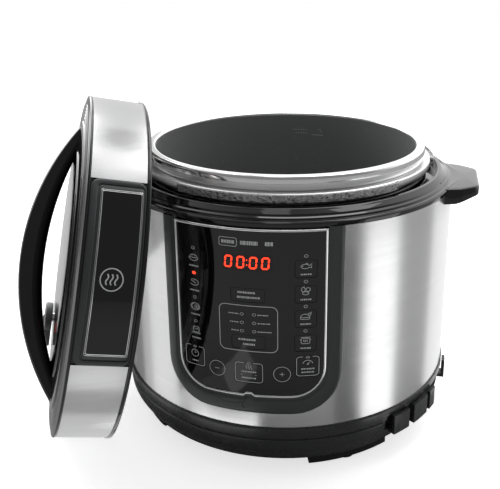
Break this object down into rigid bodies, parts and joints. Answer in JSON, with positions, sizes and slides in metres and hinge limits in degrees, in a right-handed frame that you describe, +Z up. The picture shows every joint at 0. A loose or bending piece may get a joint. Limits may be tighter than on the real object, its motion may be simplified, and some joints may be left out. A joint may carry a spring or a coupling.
{
  "type": "electric pressure cooker",
  "caption": "Countertop electric pressure cooker with lift-out pot, curved control panel, side handles, and a round arched-grip lid leaning on its side.",
  "frame": {"origin": "on the cooker's vertical axis, at the level of the table it stands on", "axes": "+Z up, the control panel faces -Y, the side handles point along +X and -X"},
  "size_m": [0.3991, 0.3893, 0.2826],
  "materials": {
    "pot_coating": "non-stick satin",
    "bright_steel": "polished",
    "cast_aluminium": "cast",
    "zinc_steel": "zinc plated",
    "gloss_black": "high gloss",
    "brushed_steel": "vertical brushing",
    "satin_grey": "satin",
    "foot_rubber": "matte",
    "board_parts": "moulded",
    "board_green": "printed board",
    "bright_frame": "bright",
    "display_red": "smoked",
    "lamp_clear": "clear",
    "inlet_plastic": "moulded",
    "cup_clear": "translucent",
    "silicone": "soft",
    "valve_grey": "satin",
    "float_red": "gloss"
  },
  "bodies": {
    "body": {"pressure_housing": "bright_steel", "heating_plate": "cast_aluminium", "heater_terminals": "cast_aluminium", "sensor_bridge": "zinc_steel", "top_ring": "gloss_black", "outer_shell": "brushed_steel", "base_pan": "satin_grey", "bottom_plate": "satin_grey", "body_screws": "zinc_steel", "feet": "foot_rubber", "housing_brackets": "zinc_steel", "heat_shield": "zinc_steel", "pressure_switch": "board_parts", "thermal_fuse": "board_parts", "power_board": "board_green", "panel_bezel": "satin_grey", "panel_frame": "bright_frame", "panel_overlay": "gloss_black", "display_window": "display_red", "indicator_lights": "lamp_clear", "tact_switches": "board_parts", "display_module": "board_parts", "control_board": "board_green", "power_inlet": "inlet_plastic", "inlet_pins": "bright_frame", "cup_holder": "satin_grey"},
    "inner_pot": {"inner_pot": "pot_coating"},
    "temperature_sensor": {"temperature_sensor": "cast_aluminium"},
    "condensation_cup": {"condensation_cup": "cup_clear"},
    "lid": {"lid_skirt": "satin_grey", "lid_band": "brushed_steel", "lid_cover": "gloss_black", "badge_surround": "satin_grey", "badge_frame": "bright_frame", "badge_plate": "gloss_black", "lid_grip": "gloss_black", "inner_lid": "bright_steel", "seal_plate": "bright_steel", "sealing_ring": "silicone", "centre_nut": "bright_steel", "steam_pipe": "bright_steel", "steam_filter": "bright_steel", "lid_screws": "zinc_steel"},
    "steam_valve": {"steam_valve": "valve_grey"},
    "float_valve": {"float_valve": "float_red"},
    "key_rice": {"key_rice": "gloss_black"},
    "key_beans": {"key_beans": "gloss_black"},
    "key_meat": {"key_meat": "gloss_black"},
    "key_pudding": {"key_pudding": "gloss_black"},
    "key_fish": {"key_fish": "gloss_black"},
    "key_vegetables": {"key_vegetables": "gloss_black"},
    "key_chicken": {"key_chicken": "gloss_black"},
    "key_saute": {"key_saute": "gloss_black"},
    "key_timer": {"key_timer": "gloss_black"},
    "key_keep_pressure": {"key_keep_pressure": "gloss_black"},
    "key_minus": {"key_minus": "gloss_black"},
    "key_plus": {"key_plus": "gloss_black"},
    "key_heat_cancel": {"key_heat_cancel": "gloss_black"},
    "key_cooking_times": {"key_cooking_times": "gloss_black"},
    "key_extra_functions": {"key_extra_functions": "gloss_black"}
  },
  "joints": [
    {"name": "pot_lift", "type": "slide", "parent": "body", "child": "inner_pot", "axis": [0, 0, 1], "range_m": [0, 0.17]},
    {"name": "sensor_press", "type": "slide", "parent": "body", "child": "temperature_sensor", "axis": [0, 0, -1], "range_m": [0, 0.003], "stiffness_N_per_m": 600, "springref_m": -0.002},
    {"name": "cup_pull", "type": "slide", "parent": "body", "child": "condensation_cup", "axis": [0, 1, 0], "range_m": [0, 0.03]},
    {"name": "lid_lift", "type": "slide", "parent": "body", "child": "lid", "axis": [-0.8731, -0.4449, 0.1994], "range_m": [0, 0.2]},
    {"name": "steam_valve_turn", "type": "hinge", "parent": "lid", "child": "steam_valve", "pos_m": [-0.19117, -0.08528, 0.0894], "axis": [0.8731, 0.4449, -0.1994], "range_deg": [0, 70]},
    {"name": "float_rise", "type": "slide", "parent": "lid", "child": "float_valve", "axis": [-0.8731, -0.4449, 0.1994], "range_m": [0, 0.003]},
    {"name": "press_rice", "type": "slide", "parent": "body", "child": "key_rice", "axis": [0, 1, 0], "range_m": [0, 0.0005], "stiffness_N_per_m": 2000, "springref_m": -0.0003},
    {"name": "press_beans", "type": "slide", "parent": "body", "child": "key_beans", "axis": [0, 1, 0], "range_m": [0, 0.0005], "stiffness_N_per_m": 2000, "springref_m": -0.0003},
    {"name": "press_meat", "type": "slide", "parent": "body", "child": "key_meat", "axis": [0, 1, 0], "range_m": [0, 0.0005], "stiffness_N_per_m": 2000, "springref_m": -0.0003},
    {"name": "press_pudding", "type": "slide", "parent": "body", "child": "key_pudding", "axis": [0, 1, 0], "range_m": [0, 0.0005], "stiffness_N_per_m": 2000, "springref_m": -0.0003},
    {"name": "press_fish", "type": "slide", "parent": "body", "child": "key_fish", "axis": [0, 1, 0], "range_m": [0, 0.0005], "stiffness_N_per_m": 2000, "springref_m": -0.0003},
    {"name": "press_vegetables", "type": "slide", "parent": "body", "child": "key_vegetables", "axis": [0, 1, 0], "range_m": [0, 0.0005], "stiffness_N_per_m": 2000, "springref_m": -0.0003},
    {"name": "press_chicken", "type": "slide", "parent": "body", "child": "key_chicken", "axis": [0, 1, 0], "range_m": [0, 0.0005], "stiffness_N_per_m": 2000, "springref_m": -0.0003},
    {"name": "press_saute", "type": "slide", "parent": "body", "child": "key_saute", "axis": [0, 1, 0], "range_m": [0, 0.0005], "stiffness_N_per_m": 2000, "springref_m": -0.0003},
    {"name": "press_timer", "type": "slide", "parent": "body", "child": "key_timer", "axis": [0, 1, 0], "range_m": [0, 0.0005], "stiffness_N_per_m": 2000, "springref_m": -0.0003},
    {"name": "press_keep_pressure", "type": "slide", "parent": "body", "child": "key_keep_pressure", "axis": [0, 1, 0], "range_m": [0, 0.0005], "stiffness_N_per_m": 2000, "springref_m": -0.0003},
    {"name": "press_minus", "type": "slide", "parent": "body", "child": "key_minus", "axis": [0, 1, 0], "range_m": [0, 0.0005], "stiffness_N_per_m": 2000, "springref_m": -0.0003},
    {"name": "press_plus", "type": "slide", "parent": "body", "child": "key_plus", "axis": [0, 1, 0], "range_m": [0, 0.0005], "stiffness_N_per_m": 2000, "springref_m": -0.0003},
    {"name": "press_heat_cancel", "type": "slide", "parent": "body", "child": "key_heat_cancel", "axis": [0, 1, 0], "range_m": [0, 0.0005], "stiffness_N_per_m": 2000, "springref_m": -0.0003},
    {"name": "press_cooking_times", "type": "slide", "parent": "body", "child": "key_cooking_times", "axis": [0, 1, 0], "range_m": [0, 0.0005], "stiffness_N_per_m": 2000, "springref_m": -0.0003},
    {"name": "press_extra_functions", "type": "slide", "parent": "body", "child": "key_extra_functions", "axis": [0, 1, 0], "range_m": [0, 0.0005], "stiffness_N_per_m": 2000, "springref_m": -0.0003}
  ]
}
